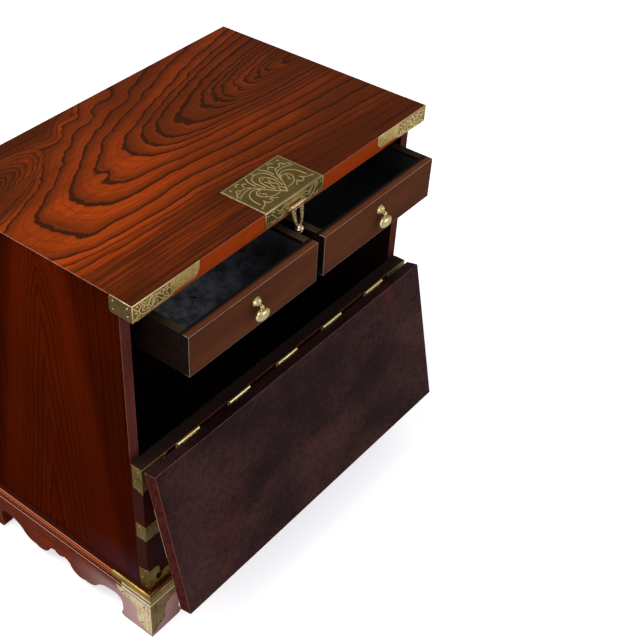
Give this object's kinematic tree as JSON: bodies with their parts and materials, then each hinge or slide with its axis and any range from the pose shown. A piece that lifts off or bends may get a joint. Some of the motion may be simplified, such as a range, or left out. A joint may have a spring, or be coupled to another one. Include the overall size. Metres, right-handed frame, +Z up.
{
  "type": "drop-front chest",
  "caption": "Wooden drop-front chest with inner drawers, sheet brass mounts, knuckled hinges and a hasp lock, on a scrolled footed stand.",
  "frame": {"origin": "on the floor, under the middle of the outline of the chest as it stands open", "axes": "+X along the front to the right, +Y to the back, +Z up"},
  "size_m": [0.6372, 0.4636, 0.6262],
  "materials": {
    "elm": "oiled and polished red-brown elm with dark grain",
    "inner_wood": "plain dark softwood inside the case and stand",
    "drawer_wood": "worn brown wood, darkened by age",
    "brass": "aged engraved sheet brass with rubbed edges"
  },
  "bodies": {
    "case": {"back_panel": "inner_wood", "bottom_board": "inner_wood", "centre_drawer_guide": "inner_wood", "drawer_kickers": "inner_wood", "drawer_shelf": "inner_wood", "foot_mounts": "brass", "hasp_pin": "brass", "hinge_case_leaves": "brass", "hinge_pins": "brass", "left_drawer_guide": "inner_wood", "left_middle_strap": "brass", "left_moulding_cap": "brass", "left_side_panel": "elm", "left_top_corner_mount": "brass", "lower_corner_mounts": "brass", "lower_front_board": "elm", "rail_corner_mounts": "brass", "right_drawer_guide": "inner_wood", "right_middle_strap": "brass", "right_moulding_cap": "brass", "right_side_panel": "elm", "right_top_corner_mount": "brass", "stand_back_apron": "elm", "stand_back_rail": "inner_wood", "stand_corner_blocks": "inner_wood", "stand_front_apron": "elm", "stand_front_moulding": "elm", "stand_left_apron": "elm", "stand_left_moulding": "elm", "stand_right_apron": "elm", "stand_right_moulding": "elm", "top_board": "elm", "top_lock_plate": "brass"},
    "drop_front": {"drop_front_panel": "elm", "hinge_flap_leaves": "brass", "drop_front_lock_plate": "brass", "lock_staple": "brass", "drop_front_left_strap": "brass", "drop_front_right_strap": "brass"},
    "left_drawer": {"left_drawer_front": "drawer_wood", "left_drawer_left_side": "drawer_wood", "left_drawer_right_side": "drawer_wood", "left_drawer_back": "drawer_wood", "left_drawer_bottom": "drawer_wood", "left_pull_post": "brass"},
    "right_drawer": {"right_drawer_front": "drawer_wood", "right_drawer_left_side": "drawer_wood", "right_drawer_right_side": "drawer_wood", "right_drawer_back": "drawer_wood", "right_drawer_bottom": "drawer_wood", "right_pull_post": "brass"},
    "left_pull": {"left_pull_drop": "brass"},
    "right_pull": {"right_pull_drop": "brass"},
    "hasp": {"hasp": "brass"}
  },
  "joints": [
    {"name": "drop_front_hinge", "type": "hinge", "parent": "case", "child": "drop_front", "pos_m": [0, -0.15315, 0.3449], "axis": [1, 0, 0], "range_deg": [-167, 0]},
    {"name": "left_drawer_slide", "type": "slide", "parent": "case", "child": "left_drawer", "axis": [0, -1, 0], "range_m": [-0.1062, 0.1]},
    {"name": "right_drawer_slide", "type": "slide", "parent": "case", "child": "right_drawer", "axis": [0, -1, 0], "range_m": [-0.1062, 0.1]},
    {"name": "left_pull_swing", "type": "hinge", "parent": "left_drawer", "child": "left_pull", "pos_m": [-0.1344, -0.21175, 0.5514], "axis": [-1, 0, 0], "range_deg": [-3, 95]},
    {"name": "right_pull_swing", "type": "hinge", "parent": "right_drawer", "child": "right_pull", "pos_m": [0.1344, -0.21175, 0.5514], "axis": [-1, 0, 0], "range_deg": [-3, 95]},
    {"name": "hasp_swing", "type": "hinge", "parent": "case", "child": "hasp", "pos_m": [0, -0.15795, 0.612], "axis": [-1, 0, 0], "range_deg": [-10, 160]}
  ],
  "couplings": [
    {"joint": "left_drawer_slide", "follows": "drop_front_hinge", "m_per_rad": 0.036435},
    {"joint": "right_drawer_slide", "follows": "drop_front_hinge", "m_per_rad": 0.036435}
  ]
}
